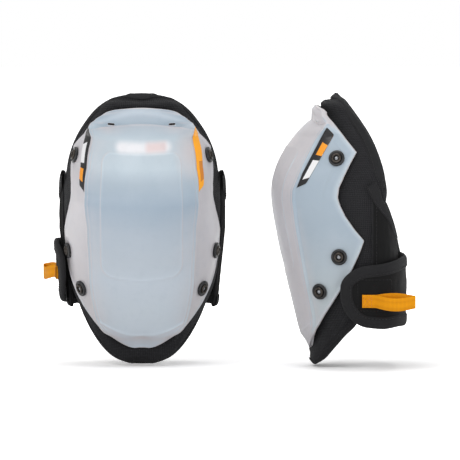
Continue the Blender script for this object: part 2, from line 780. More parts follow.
def shell_inset(z, away, past_crease, from_edge, panel, tip_arc, width):
    """Relief of one shell section, in mm inwards."""
    sides = smooth_ramp(z, 24, 50) * smooth_ramp(z, 256, 244)
    inset = 1.25 * sides * smooth_ramp(past_crease, .2, 2.6)  # side wall set back
    inset -= .6 * sides * gauss(past_crease, -.6, .9)  # ridge on the crease
    inset -= .32 * sides * gauss(past_crease, -4.6, .8)  # fainter ridge beside it
    inset -= .5 * gauss(panel, 0, .95) + .22 * inside(panel, 2.2)  # front panel
    inset -= .55 * gauss(z, tip_arc, 1.1) * (away < 46) + .35 * inside(z - tip_arc, 1.5)
    inset += .45 * gauss(z, 252.6 - .0036 * width ** 2, 1.0) * (away < 60)  # groove in the brow
    inset -= .5 * gauss(z, 263.5 - .00688 * width ** 2, 2.2)  # fold above it
    # lip that flares out at the rear edge
    inset -= .95 * ramp(from_edge, 4.2, 0) ** 2 * smooth_ramp(z, 30, 60) * smooth_ramp(z, 258, 246)
    # flange behind the upper rivets
    inset -= .7 * ramp(from_edge, 15, 12.5) * smooth_ramp(z, 170, 182) * smooth_ramp(z, 238, 226)
    # beads at the top and bottom edges
    inset -= .45 * gauss(z, SHELL_HIGH, 1.6) + .5 * gauss(z, SHELL_LOW, 1.8)
    return inset


def shell_tint(z, x, away, past_crease, from_edge, panel, tip_arc, width):
    """sRGB colours, 0..1, along one shell section."""
    def blend(colours, other, weight):
        return mix(colours, np.array(other, float), weight[:, None])
    front = np.array([linear(SHELL_COLOURS, z, c) for c in (1, 2, 3)])
    wall = np.array([162, 176, 188.0]) + np.array([22, 18, 11.0]) * smooth_ramp(z, 150, 60)
    tint = blend(np.repeat(front[None], len(x), 0), wall, ramp(past_crease, -4, 4))
    # paler ridges: the panel outline and the arc above the tip
    tint = tint + (gauss(panel, 0, .9) * 7 + gauss(z, tip_arc, 1.2) * (away < 46) * 8)[:, None]
    tint = blend(tint, (194, 204, 211), ramp(from_edge, 5.4, .9) * .6)
    fold = gauss(z, 263.5 - .0069 * width ** 2, 3.2) * (z > 240)
    tint = blend(tint, (190, 201, 211), fold * .5)
    # white film seen blurred through the shell, pink at one end
    film = np.sqrt((np.maximum(np.abs(x + 2) - 22, 0) / 8) ** 2 + ((z - 230.5) / 7) ** 2)
    tint = blend(tint, (243, 238, 240), smooth_ramp(film, 1.25, .25) * .74)
    pink = ramp(x, -2, -7) * ramp(x, -27, -23) * ramp(abs(z - 231), 7, 2)
    tint = blend(tint, (214, 180, 176), pink * .5)
    pink_side = ramp(np.hypot((x + 50) / 16, (z - 224) / 26), 1.15, .15)
    return blend(tint, (214, 178, 170), pink_side * .35) / 255


def shell_row(z):
    """Outer points, inner points, uv and tint of one section."""
    angles = SHELL_COLUMNS * edge_angle(z)
    power = 2 / linear(CAP_ROUNDNESS, z)
    width = (body_half(z) + CAP_MARGIN) * np.abs(np.sin(np.radians(angles))) ** power
    # the brow's crease bows down towards its ends
    droop = .0036 * width ** 2 * smooth_ramp(z, 238, 249) * smooth_ramp(width, 50, 33)
    front = np.array([spline(FRONT, min(266.9, z + d)) for d in droop])
    along = arc(cap_point(z, angles, front))
    along -= along[SHELL_MID]
    away = np.abs(along)
    crease = np.interp(crease_angle(z), np.abs(angles)[SHELL_MID:], away[SHELL_MID:])
    lines = {"away": away, "past_crease": away - crease, "from_edge": away[-1] - away,
             "panel": panel_distance(z, away), "tip_arc": 35 + 8.5 * (away / 40) ** 2,
             "width": width}
    inset = shell_inset(z, **lines)
    outer = cap_point(z, angles, front, inset)
    inner = cap_point(z, angles, front, 3.0 + np.maximum(0, inset - 1.3))
    # rounded lower end, resting on the padding
    drop = linear(BOW, z) * np.abs(SHELL_COLUMNS) ** (2 + 2.2 * smooth_ramp(z, 40, 24))
    x = outer[:, 0]
    drop = drop + (4.0 * np.exp(-(x / 31) ** 4) * (1 - .72 * gauss(x, 0, 9))
                   * smooth_ramp(z, 42, 25))
    for points in (outer, inner):
        points[:, 1] += 1.9 * smooth_ramp(z, 33, 22)
        points[:, 2] -= drop
    return outer, inner, np.stack([along, np.full(len(x), z)], 1), shell_tint(z, x, **lines)


def slot_cutter():
    """Two round-ended bars that cut the slots in the brow."""
    count, radius, half_length, height = 20, 1.25, 2.3, 250.5
    bars = []
    for centre in (-31, 31):
        ring = []
        for y in (20, 66):
            for k in range(count):
                a = 2 * math.pi * k / count
                x = centre + math.copysign(half_length, math.cos(a)) + radius * math.cos(a)
                ring.append((x, y, height + radius * math.sin(a)))
        faces = [(k, (k + 1) % count, count + (k + 1) % count, count + k) for k in range(count)]
        faces += [tuple(range(count))[::-1], tuple(range(count, 2 * count))]
        ring = np.array(ring)
        bars.append((ring, outward(ring, faces), np.zeros((len(ring), 2))))
    points, faces, _ = join(bars)
    return points, faces, None


SHELL_OUTER, shell_inner, shell_uv, tints = map(np.array, zip(*map(shell_row, SHELL_HEIGHTS)))
shell = sheet(SHELL_OUTER, shell_inner, shell_uv, lip=.35)
tints = tints.reshape(-1, 3)
tints = linear_rgb(np.concatenate([tints, tints * .9]))
tints = np.concatenate([tints, np.full((len(shell[0]) - len(tints), 3), .5)])
for side in SIDES:
    ob = build(f"{side}_shell", side, shell, MATERIALS["frosted_shell"], tint=tints)
    cutter = build("cut_tmp", side, slot_cutter(), None, smooth=False)
    modifier = ob.modifiers.new("b", "BOOLEAN")
    modifier.operation, modifier.object, modifier.solver = "DIFFERENCE", cutter, "EXACT"
    apply_modifiers(ob)
    bpy.data.objects.remove(cutter)
    register(ob, side, ("cap",), "pad")

# ---------------------------------------------------------------- padded body
BODY_ROWS = np.concatenate([
    [2.5, 4.5, 7, 10, 13.5], np.linspace(17, 256, 96, endpoint=False), np.linspace(256, 279.5, 16)])
# between even spacing in angle and in width
BODY_ANGLES = (np.degrees(np.arcsin(np.linspace(-1, 1, 101))) * .45
               + np.linspace(-90, 90, 101) * .55)
COVER_BACK, LINING_BACK, LINING_INSET = 8.8, 9.05, 10.5
ROW_Z = BODY_ROWS[:, None]
ANGLE = np.abs(BODY_ANGLES)[None]
# 0 at both ends of the body, 1 over most of it
TIP_FADE = ramp(ROW_Z, BODY_LOW, BODY_LOW + 9) * ramp(ROW_Z, BODY_HIGH, BODY_HIGH - 9)


def body_grid(inset):
    insets = np.broadcast_to(inset, (len(BODY_ROWS), len(BODY_ANGLES)))
    return np.array([body_point(z, BODY_ANGLES, row) for z, row in zip(BODY_ROWS, insets)])


def grid_uv(grid):
    columns = np.linalg.norm(np.diff(grid, axis=1), axis=2)
    across = np.concatenate([np.zeros((len(grid), 1)), np.cumsum(columns, axis=1)], 1)
    across -= across[:, across.shape[1] // 2][:, None]
    steps = np.linalg.norm(np.diff(grid[:, ::6], axis=0), axis=2).mean(axis=1)
    along = np.concatenate([[0], np.cumsum(steps)])
    return np.stack([across, np.repeat(along[:, None], grid.shape[1], 1)], 2)


def wing_range(z):
    """1 over the heights where the wings leave the rim."""
    return ramp(z, 44, 56) * ramp(z, 196, 182)


def round_top(points):
    """The top of the rim is an arc, not a straight end."""
    points = np.array(points, float)
    top = smooth_ramp(points[..., 2], 272.5, BODY_HIGH)
    points[..., 2] -= .0068 * np.minimum(np.abs(points[..., 0]), 20) ** 2 * top
    return points


def cover_part():
    plain = body_grid(0)
    y = plain[..., 1]
    edges = np.array([edge_angle(z) if SHELL_LOW <= z <= SHELL_HIGH else 0 for z in BODY_ROWS])
    edges = edges[:, None]
    uncovered = ramp(ANGLE, edges - 1, edges + 5)  # 1 where the shell doesn't cover the fabric
    rims = np.array([rim_y(z) for z in BODY_ROWS])[:, None]
    soft = uncovered * np.clip((rims - y) / 9, 0, 1) * TIP_FADE
    inset = -3.0 * wing_range(ROW_Z) * smooth_ramp(y, 84, 102) * uncovered
    inset = inset - .35 * soft * wave_noise(plain, 46, seed=1)
    inset = inset - .16 * soft * wave_noise(plain, 17, seed=2)
    # roll above the shell
    inset = inset - 4.4 * gauss(ROW_Z, 265.5, 4.6) * ramp(ANGLE, 78, 48) * (ROW_Z > 255)
    outer = inflate(round_top(body_grid(inset)), 1 - np.clip(soft * 1.3, 0, 1),
                    pressure=1.2, frames=12, limit=1.9)
    return sheet(outer, body_grid(COVER_BACK), grid_uv(plain), lip=.3)


cover = cover_part()
for side in SIDES:
    place("body_cover", side, cover, "woven_fabric", "pad", ("fabric_cover", "foam_liner"))

# lining inside the body, with sewn channels across it
CHANNELS = (48, 88, 228, 252)  # z
CHANNEL_BOW = 4  # how far a channel rises at the middle


def lining_part():
    plain = body_grid(LINING_INSET)
    fade = ramp(ANGLE, 90, 80) * TIP_FADE
    rise = CHANNEL_BOW * np.cos(np.radians(BODY_ANGLES))[None]
    channel = sum(gauss(ROW_Z, z + rise, 1.5) for z in CHANNELS)
    middle = ramp(ANGLE, 78, 72)
    inset = LINING_INSET + fade * (.7 - 1.3 * np.clip(channel * middle, 0, 1))
    inset = inset + .2 * fade * wave_noise(plain, 38, seed=4)
    held = 1 - fade * (1 - .95 * np.clip(channel * 1.4 * middle, 0, 1))
    face = inflate(body_grid(inset), held, pressure=.8, frames=10, limit=.9, flip=True)
    return sheet(face, body_grid(LINING_BACK), grid_uv(plain), lip=.3)


def channel_stitches(z):
    angles = np.linspace(-76, 76, 90)
    path = [body_point(z + CHANNEL_BOW * math.cos(math.radians(q)), q, 10.35) for q in angles]
    return stitches(path, [unit(body_point(z, q, 14) - body_point(z, q, 10)) for q in angles])


lining = lining_part()
lining_stitches = join([channel_stitches(z) for z in CHANNELS])
for side in SIDES:
    place("lining", side, lining, "lining_fabric", "pad", ("knee_lining",))
    place("lining_stitches", side, lining_stitches, "thread", "pad")


def cushion_part():
    """Crowned knee cushion in three sewn channels."""
    rows, columns = 57, 61
    half_angle, half_height, centre_z, seam = 48, 46, 159, .36
    face, back = np.empty((rows, columns, 3)), np.empty((rows, columns, 3))
    held = np.zeros((rows, columns))
    for i, v in enumerate(np.linspace(-1, 1, rows)):
        for j, u in enumerate(np.linspace(-1, 1, columns)):
            # square to rounded outline
            a, b = u * math.sqrt(1 - v * v * .42), v * math.sqrt(1 - u * u * .42)
            angle, z = half_angle * a, centre_z + half_height * b
            r = max(abs(u), abs(v))
            groove = .62 * gauss(abs(a), seam, .045) * (1 - r ** 4)
            face[i, j] = body_point(z, angle, 12.6 + 5.6 * (1 - r ** 3) ** .5 * (1 - groove))
            back[i, j] = body_point(z, angle, 12.15)
            if r > .97:
                held[i, j] = 1.0
            elif abs(abs(a) - seam) < .035:
                held[i, j] = .85
    puffed = inflate(face, held, pressure=1.5, frames=10, limit=1.8, flip=True)
    return sheet(puffed, back, grid_uv(face), lip=.5)


cushion = cushion_part()
for side in SIDES:
    place("cushion", side, cushion, "cushion_fabric", "pad", ("knee_cushion",))

# ---------------------------------------------------------------- tape round the body's rim
RIM_INSETS = (0, LINING_INSET)  # outer and inner face of the padding
RIM_REACH = 8.0  # distance over which the tape's direction is taken
RIM_END_WIDTH, RIM_INNER_WIDTH = 8.5, 9.0
RIM_SECTIONS = 300


def rim_point(z, angle, inset):
    point = body_point(z, angle, inset)
    return round_top(point) if inset == 0 else point


def rim_row(z, angle, directions, width):
    points = [rim_point(z, angle, inset) for inset in RIM_INSETS]
    return points, [unit(direction) for direction in directions], width


def side_directions(z, sign):
    """From the rim forwards over each face."""
    directions = []
    for inset in RIM_INSETS:
        start = rim_point(z, 90 * sign, inset)
        for angle in np.arange(89, 20, -1.0):
            point = rim_point(z, angle * sign, inset)
            if np.linalg.norm(point - start) >= RIM_REACH:
                break
        directions.append(unit(point - start))
    return np.array(directions)


def end_directions(z, angle, step):
    """From the rim up or down over each face."""
    directions = []
    for inset in RIM_INSETS:
        start = rim_point(z, angle, inset)
        x = min(1, abs(start[0]) / body_half(z + step, inset))
        sine = x ** (linear(BODY_ROUNDNESS, z + step) / 2)
        beyond = math.copysign(math.degrees(math.asin(sine)), angle)
        directions.append(unit(rim_point(z + step, beyond, inset) - start))
    return np.array(directions)


def rim_side(heights, sign):
    return [rim_row(z, 90 * sign, side_directions(z, sign), 9.0 - 6.9 * float(wing_range(z)))
            for z in heights]


def rim_end(z, step, sign):
    """Fan round a corner, run across, and fan round the other corner."""
    def fan(corner):
        a, b = side_directions(z, corner), end_directions(z, 90 * corner, step)
        return [rim_row(z, 90 * corner, mix(a, b, k / 6), RIM_END_WIDTH) for k in range(1, 6)]
    across = [rim_row(z, angle, end_directions(z, angle, step), RIM_END_WIDTH)
              for angle in np.linspace(88 * sign, -88 * sign, 17)]
    return fan(sign) + across + fan(-sign)[::-1]


def rim_parts():
    """Tape and its stitches."""
    heights = np.concatenate([
        [2.5, 4.5, 7, 10, 14], np.linspace(18, 256, 80, endpoint=False),
        np.linspace(256, 279.5, 12)])
    rows = (rim_side(heights, 1) + rim_end(BODY_HIGH, -RIM_REACH, 1)
            + rim_side(heights[::-1], -1) + rim_end(BODY_LOW, RIM_REACH, -1))
    points, directions, widths = (np.array(column) for column in zip(*rows))
    middle = points.mean(axis=1)
    lengths = arc(np.concatenate([middle, middle[:1]])) + np.arange(len(rows) + 1) * 1e-6
    stations = np.linspace(0, lengths[-1], RIM_SECTIONS, endpoint=False)

    # even spacing, then smoothing, so that the corners turn softly
    def resample(values, passes):
        values = values.reshape(len(rows), -1)
        values = np.concatenate([values, values[:1]])
        even = np.stack([np.interp(stations, lengths, column) for column in values.T], 1)
        for _ in range(passes):
            even = (np.roll(even, 1, 0) + 2 * even + np.roll(even, -1, 0)) / 4
        return even
    points = resample(points, 26).reshape(-1, 2, 3)
    directions = resample(directions, 40).reshape(-1, 2, 3)
    sections, outer_row, inner_row, inner_normals = [], [], [], []
    wi = RIM_INNER_WIDTH
    for (P, Q), pair, w in zip(points, directions, resample(widths, 10)[:, 0]):
        # P, Q: outer and inner edge; To, Ti: over the faces; M: away from the padding
        n = unit(P - Q)
        To, Ti = unit(pair[0]), unit(pair[1])
        outer_row.append((w > 5, P + To * (w - 2.4) + n * 1.66, n))
        inner_row.append(Q + Ti * (wi - 2.4) - n * 1.32)
        inner_normals.append(-n)
        To = unit(To - n * To.dot(n) * .15)
        M = -unit(To + Ti)
        M = unit(M - n * M.dot(n))
        sections.append([
            P + To * w - n * .3, P + To * w + n * .45,
            P + To * max(w - 1.3, .6 * w) + n * (.9 + .06 * w),
            P + To * w * .55 + n * (1.1 + .12 * w), P + To * w * .1 + n * (1.0 + .06 * w),
            P + M * 1.5 - n * .2, mix(P, Q, .26) + M * 3.0, (P + Q) / 2 + M * 3.5,
            mix(P, Q, .74) + M * 3.0, Q + M * 1.5 + n * .2, Q + Ti * .9 - n * 1.15,
            Q + Ti * wi * .55 - n * 1.5, Q + Ti * (wi - 1.1) - n * 1.05, Q + Ti * wi - n * .45,
            Q + Ti * wi + n * .3, Q + M * .2 + n * .3, P + M * .2 - n * .3])
    sections = np.array(sections)
    across = [0, .8, 2, 5, 9, 11, 14, 17, 20, 23, 25, 29, 32, 33.2, 34, 40, 46.0]
    rows_of_stitches = []
    # the outer row stops where the tape is narrow
    for wide, run in groupby(outer_row, key=lambda item: item[0]):
        if wide:
            _, path, normals = zip(*run)
            rows_of_stitches.append(stitches(path, normals))
    rows_of_stitches.append(stitches(inner_row, inner_normals, closed=True))
    return tube(sections, arc(sections[:, 7]), across), join(rows_of_stitches)


rim_tape, rim_stitches = rim_parts()
for side in SIDES:
    place("rim_tape", side, rim_tape, "binding_tape", "pad", ("rim_binding",), subdivide=True)
    place("rim_stitches", side, rim_stitches, "thread", "pad")


# ---------------------------------------------------------------- rivets
def rivet_axes():
    axes = []
    for y, z in RIVETS:
        angle = creased_angle(z, y)

        def at(dz, turn):
            return cap_point(z + dz, angle + turn, spline(FRONT, z + dz))
        normal = unit(np.cross(at(0, 2) - at(0, -2), at(3, 0) - at(-3, 0)))
        if normal[0] < 0:
            normal = -normal
        for sign in (1, -1):
            mirror = np.array([sign, 1, 1])
            out = normal * mirror
            x = unit(np.cross(out, [0, 0, 1]))
            axes.append((at(0, 0) * mirror, x, np.cross(out, x), out))
    return axes


# profiles: radius, height above the shell
WASHER = [(2.6, -1.3), (7.7, -1.3), (8.15, -.5), (8.3, .5), (8.1, 1.15), (7.5, 1.6), (6.8, 1.78),
          (6.2, 1.7), (5.7, 1.35), (5.4, 1.2), (2.6, 1.2)]
HEAD = [(2.9, -1.5), (2.9, 2.35), (3.1, 2.85), (3.6, 3.15), (4.2, 3.12), (4.75, 2.85), (5.1, 2.3),
        (5.2, 1.75), (5.05, 1.35), (4.7, 1.1), (3.6, .9), (3.4, -1.5)]
CUP = [(.02, .1), (3.15, .1), (3.15, .5), (2.2, .62), (1.7, .5), (.02, .45)]
PIN = [(.02, .3), (2.1, .3), (2.2, 1.2), (1.9, 1.6), (1.2, 1.85), (.4, 1.95), (.02, 2.0)]
AXES = rivet_axes()
washers = join([lathe(WASHER, axes) for axes in AXES])
heads = join([lathe(profile, axes) for profile in (HEAD, CUP) for axes in AXES])
pins = join([lathe(PIN, axes, segments=24) for axes in AXES])
for side in SIDES:
    place("washers", side, washers, "washer_plastic", "pad", ("rivet_washers",))
    place("rivet_heads", side, heads, "rivet_metal", "pad", ("rivets",))
    place("rivet_pins", side, pins, "pin_metal", "pad")

# ---------------------------------------------------------------- labels on the shell's sides
# corners (y, z): the two lower ones, then the two upper ones
LABEL = np.array([(22.7, 184), (34.4, 189.3), (55.8, 246.5), (63, 238.6)], float)
LABEL_WIDTH, LABEL_LENGTH = 12.5, 64
LABEL_BLANK = -5  # uv of the back and edges, off the bars


def on_shell(y, z):
    """Point on the finished shell's outside, on the +x side."""
    y = max(y, spline(FRONT, z) + 2)
    heights = SHELL_OUTER[:, SHELL_MID, 2]
    i = int(np.clip(np.searchsorted(heights, z) - 1, 0, len(heights) - 2))
    t = (z - heights[i]) / (heights[i + 1] - heights[i])
    last = len(SHELL_COLUMNS) - 1
    column = (creased_angle(z, y) / edge_angle(z) + 1) / 2 * last
    j = int(np.clip(math.floor(column), 0, last - 1))
    low, high = (mix(row[j], row[j + 1], column - j) for row in SHELL_OUTER[i:i + 2])
    return mix(low, high, t)


def label_part(sign):
    columns, rows = 17, 65
    face, back = np.empty((rows, columns, 3)), np.empty((rows, columns, 3))
    uv = np.empty((rows, columns, 2))
    mirror = np.array([sign, 1, 1])
    for i in range(rows):
        for j in range(columns):
            u, v = j / (columns - 1), i / (rows - 1)
            # rounded corners
            end = ramp(abs(v - .5) * 2, .93, 1)
            across = .5 + (u - .5) * (1 - .12 * end * end)
            y, z = mix(mix(LABEL[0], LABEL[1], across), mix(LABEL[2], LABEL[3], across), v)
            y = max(y, linear(CREASE, z) + 1.9)
            point = on_shell(y, z)
            normal = unit(np.cross(on_shell(y + 1.5, z) - point, on_shell(y, z + 1.5) - point))
            if normal[0] < 0:
                normal = -normal
            face[i, j] = (point + normal * .5) * mirror
            back[i, j] = (point + normal * .02) * mirror
            uv[i, j] = (u * LABEL_WIDTH, v * LABEL_LENGTH)
    points, faces, uv = sheet(face, back, uv, lip=.4)
    uv[rows * columns:] = LABEL_BLANK
    return points, faces, uv


outer_label, inner_label = label_part(1), label_part(-1)
# the right pad's bars run the other way
points, faces, uv = outer_label
turned_uv = np.where(uv < -4, uv, np.stack([uv[:, 0], 58 - uv[:, 1]], 1))
outer_labels = {"left": outer_label, "right": (points, faces, turned_uv)}
for side in SIDES:
    place("label_outer", side, outer_labels[side], "dark_label", "pad", ("outer_label",))
    place("label_inner", side, inner_label, "orange_label", "pad", ("inner_label",))

# ---------------------------------------------------------------- band and flap
# places along the band, as t of leg_loop
FLAP_NOSE, FLAP_SHOULDER, FLAP_FRONT, FLAP_ROOT = -35.6, -10.6, -35, 58
WING_START = 127
THICKNESS = 3.5
MARK_Z = 80  # height at which lengths and anchors are taken


def flap_rise(t, slant):
    return slant * (FLAP_ROOT - t) / (FLAP_ROOT - FLAP_FRONT) if t < FLAP_ROOT else 0.0


def flap_opening(t):
    """Share of full height, rounded off at the flap's nose."""
    return math.sqrt(1 - (1 - ramp(t, FLAP_NOSE, FLAP_SHOULDER)) ** 2)


def wing_seam_top(t):
    """Wing top smoothed over neighbouring places."""
    return float(np.mean([linear(WING_TOP, t + k) for k in (-4, -2, 0, 2, 4)]))


def wing_gap(t):
    """Clearance under a wing, which dips in at its front seam."""
    return 2 - 2.6 * smooth_ramp(t, 1, -5)


def band_bottom(t):
    if t <= FLAP_ROOT:
        full = mix(48, 46.5, max(t, FLAP_FRONT) / FLAP_ROOT)
        return mix(79, full, flap_opening(t)) - 3 * gauss(t, 4, 24)
    return mix(46.5, 52, smooth_ramp(t, 122, 137))


def band_top(t):
    if t <= FLAP_ROOT:
        full = mix(101.5, 113, (t - FLAP_FRONT) / (FLAP_ROOT - FLAP_FRONT))
        return mix(84, full, flap_opening(t))
    if t <= 114:
        return mix(113, 112.2, (t - FLAP_ROOT) / 56)
    return mix(112.2, wing_seam_top(180 - t), smooth_ramp(t, 112, 135))


def band_gap(t):
    if t < WING_START:
        return mix(8.2, 2, ramp(t, FLAP_ROOT, WING_START))
    return wing_gap(180 - t)


def loop_panel(places, along, row_count, bottom, top, gap, puff, slant=0):
    """Outer, inner and uv grids of a panel on the loop.

    puff(t, z, above, below) thickens it, from the distances to its bottom and top.
    """
    outer, inner, uv = [], [], []
    for t, length in zip(places, along):
        low, high = bottom(t), top(t)
        rise = flap_rise(t, slant)
        flat = [mix(low, high, v) for v in np.linspace(0, 1, row_count)]
        outer.append([leg_loop(t, z + rise,
                               gap(t) + THICKNESS + puff(t, z + rise, z - low, high - z))
                      for z in flat])
        inner.append([leg_loop(t, z + rise, gap(t)) for z in flat])
        uv.append([(length, z + rise) for z in flat])
    return np.array(outer), np.array(inner), np.array(uv)


def band_grids(places, seed, slant):
    def puff(t, z, above, below):
        edge = min(above, below)
        noise = wave_noise([t * .9, z, seed * 9.0], 34, seed)
        return max(-.25, .25 * smooth_ramp(edge, 7, 15) + .28 * smooth_ramp(edge, 4, 14) * noise)
    along = arc(np.array([leg_loop(t, MARK_Z, band_gap(t)) for t in places]))
    return loop_panel(places, along, 33, band_bottom, band_top, band_gap, puff, slant)


def flap_part(slant):
    outer, inner, uv = band_grids(FLAP_PLACES, 3, slant)
    held = np.array([[smooth_ramp(min(min(v, 1 - v) * (band_top(t) - band_bottom(t)),
                                      t - FLAP_NOSE), 12, 6)
                      for v in np.linspace(0, 1, 33)] for t in FLAP_PLACES])
    held[-2:] = 1
    outer = inflate(outer, held, pressure=.8, frames=10, limit=.9, flip=True)
    return sheet(outer, inner, uv, lip=.45)


def offset_path(path, offsets, gap, slant):
    """Points beside an outline given in (t, z), whose inside lies on its left.

    offsets: (distance to the inside, height above the gap).
    """
    path = np.array(path, float)
    tangents = np.gradient(path, axis=0)
    tangents /= np.maximum(np.linalg.norm(tangents, axis=1), 1e-9)[:, None]
    normals = np.stack([-tangents[:, 1], tangents[:, 0]], 1)
    for _ in range(2):
        normals[1:-1] = normals[:-2] + 2 * normals[1:-1] + normals[2:]
        normals /= np.linalg.norm(normals, axis=1)[:, None]
    rows = []
    for (t, z), (normal_t, normal_z) in zip(path, normals):
        row = []
        for distance, height in offsets:
            beside = t + normal_t * distance
            level = z + normal_z * distance + flap_rise(beside, slant)
            row.append(leg_loop(beside, level, gap(beside) + height))
        rows.append(row)
    return np.array(rows)


# folded tape: distance to the inside, height above the gap
BAND_TAPE = [
    (9.7, 3.3), (9.6, 4.15), (8.7, 4.6), (5.2, 4.95), (1.2, 4.75), (-1.0, 4.2), (-2.3, 3.1),
    (-2.75, 1.75), (-2.3, .45), (-1.0, -.4), (1.2, -.68), (5.2, -.8), (8.7, -.6), (9.6, -.25),
    (9.7, .35), (-.2, .35), (-.2, 3.2)]
WING_TAPE = [
    (9.0, 3.3), (8.9, 3.95), (8.0, 4.35), (4.8, 4.6), (1.2, 4.4), (-1.0, 3.9), (-2.2, 3.0),
    (-2.6, 1.75), (-2.2, .5), (-1.0, -.15), (1.2, -.3), (4.8, -.35), (8.0, -.3), (8.9, -.1),
    (9.0, .35), (-.2, .35), (-.2, 3.2)]
NARROW_TAPE = [(min(distance, 3.4), height) for distance, height in WING_TAPE]
TAPE_ACROSS = [0, .9, 1.9, 5.4, 9.4, 11.6, 13.4, 14.9, 16.4, 18.2, 20.4, 24.4, 27.9, 28.9, 29.8,
               40, 44]  # uv across both tapes


def tape(path, section, gap, slant=0):
    rows = offset_path(path, section, gap, slant)
    return tube(rows, arc(rows[:, 4]), TAPE_ACROSS, closed=False)


def edge_stitches(path, distance, height, facing, gap, slant=0):
    rows = offset_path(path, [(distance, height), (distance, height + facing)], gap, slant)
    return stitches(rows[:, 0], rows[:, 1] - rows[:, 0])


def band_edge(path, slant):
    """Tape on a band's edge, and stitches on both of its faces."""
    return tape(path, BAND_TAPE, band_gap, slant), [
        edge_stitches(path, 7.4, height, facing, band_gap, slant)
        for height, facing in ((4.85, 1), (-.72, -1))]


def seam_stitches(t, slant):
    levels = [mix(50, 109, k) + flap_rise(t, slant) for k in np.linspace(0, 1, 40)]
    low, high = (np.array([leg_loop(t, z, band_gap(t) + height) for z in levels])
                 for height in (3.65, 4.65))
    return stitches(low, high - low)


def anchor(side, t):
    return tuple(to_world(side, [leg_loop(t, MARK_Z, band_gap(t) + 1.7)])[0])


nose = [-35.59 + 25 * (1 - math.cos(math.radians(a))) for a in np.linspace(2, 90, 30)]
FLAP_PLACES = nose + list(np.linspace(FLAP_SHOULDER, 92, 72)[1:])
BACK_PLACES = list(np.linspace(92, 184.5, 84))
flap_outline = ([(t, band_top(t)) for t in FLAP_PLACES[::-1]]
                + [(FLAP_NOSE, z) for z in (82.8, 81.5, 80.2)]
                + [(t, band_bottom(t)) for t in FLAP_PLACES])
back_low = [(t, band_bottom(t)) for t in BACK_PLACES]
back_high = [(t, band_top(t)) for t in BACK_PLACES][::-1]

for side in SIDES:
    slant = SLANT[side]
    flap = place("flap_band", side, flap_part(slant), "neoprene", None, ("strap_flap",))
    back_part = sheet(*band_grids(BACK_PLACES, 5, slant), lip=.45)
    back = place("back_band", side, back_part, "neoprene", None, ("back_strap", "inner_wing"))
    flap_edge, flap_rows = band_edge(flap_outline, slant)
    flap_tape = place("flap_tape", side, flap_edge, "binding_tape", None, ("flap_binding",),
                      subdivide=True)
    flap_thread = place("flap_stitches", side, join(flap_rows), "thread", None)
    low_edge, low_rows = band_edge(back_low, slant)
    high_edge, high_rows = band_edge(back_high, slant)
    back_tape = place("back_tape", side, join([low_edge, high_edge]), "binding_tape", None,
                      ("back_strap_binding", "inner_wing_binding"), subdivide=True)
    strap_seam, back_seam = (seam_stitches(t, slant) for t in (88.5, 95.5))
    back_thread = place("back_stitches", side, join(low_rows + high_rows + [back_seam]),
                        "thread", None)
    place("seam_stitches", side, strap_seam, "thread", "strap")
    for ob in (flap, flap_tape, flap_thread):
        anchor(side, 53.5)
        anchor(side, 62.5)
        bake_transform(ob)
    for ob in (back, back_tape, back_thread):
        anchor(side, 134.5)
        anchor(side, 124.5)
        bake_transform(ob)

# ---------------------------------------------------------------- outer wing
WING_LOW = 52
WING_PLACES = np.linspace(-4.5, 47, 56)


def wing_top(t):
    return wing_seam_top(t) if t < 42 else linear(WING_TOP, t)


def wing_part():
    def puff(t, z, above, below):
        fade = smooth_ramp(z, 102, 122) * smooth_ramp(below, 5, 14) * smooth_ramp(t, -6, 6)
        return max(0, fade * (.55 + .5 * wave_noise([t, z, 4.0], 40, seed=6))) - .12
    return sheet(*loop_panel(WING_PLACES, WING_PLACES, 61, lambda t: WING_LOW, wing_top, wing_gap,
                             puff), lip=.45)


def cord(sign):
    """Cord along a wing's front seam, and a row of stitches beside it."""
    heights = np.linspace(51, 173, 70)
    t = -4.9 if sign > 0 else 184.9
    forward = np.array([0, 1.0, 0])
    sections, path, normals = [], [], []
    for k, z in enumerate(heights):
        centre = leg_loop(t, z, 1.5)
        out = unit(leg_loop(t, z, 4) - leg_loop(t, z, 1))
        radius = 1.35 * min(1, .35 + .65 * min(k, len(heights) - 1 - k) / 3)
        sections.append([centre + out * radius * math.cos(a) + forward * radius * math.sin(a)
                         for a in np.linspace(0, 2 * math.pi, 12, endpoint=False)])
        path.append(leg_loop(t + 3.6 * sign, z, wing_gap(-1.2) + 3.55))
        normals.append(out)
    part = tube(sections, np.arange(len(heights)) * 1.9, np.arange(12) * .7, closed=False)
    return part, stitches(path, normals)


# ---------------------------------------------------------------- closure patches
def pile_patch(t_span, z_span, base, surface, roughness, seed, slant):
    """Rough rectangle with rounded corners on the loop."""
    spacing, corner = 1.1, 5
    (t0, t1), (z0, z1) = t_span, z_span
    columns, rows = int((t1 - t0) / spacing), int((z1 - z0) / spacing)
    tufts = np.random.default_rng(seed).uniform(-1, 1, (columns, rows))
    face, back = np.empty((columns, rows, 3)), np.empty((columns, rows, 3))
    uv = np.empty((columns, rows, 2))
    for i, t in enumerate(np.linspace(t0, t1, columns)):
        from_end = min(t - t0, t1 - t)
        cut = corner - math.sqrt(corner ** 2 - max(0, corner - from_end) ** 2)
        for j, z in enumerate(np.linspace(z0, z1, rows)):
            level = mix(z0 + cut, z1 - cut, (z - z0) / (z1 - z0)) + flap_rise(t, slant)
            fade = smooth_ramp(min(z - z0, z1 - z, from_end + .4), 0, 2)
            face[i, j] = leg_loop(t, level, surface + roughness * tufts[i, j] * fade)
            back[i, j] = leg_loop(t, level, base)
            uv[i, j] = (t, z)
    return sheet(face, back, uv, lip=.2)


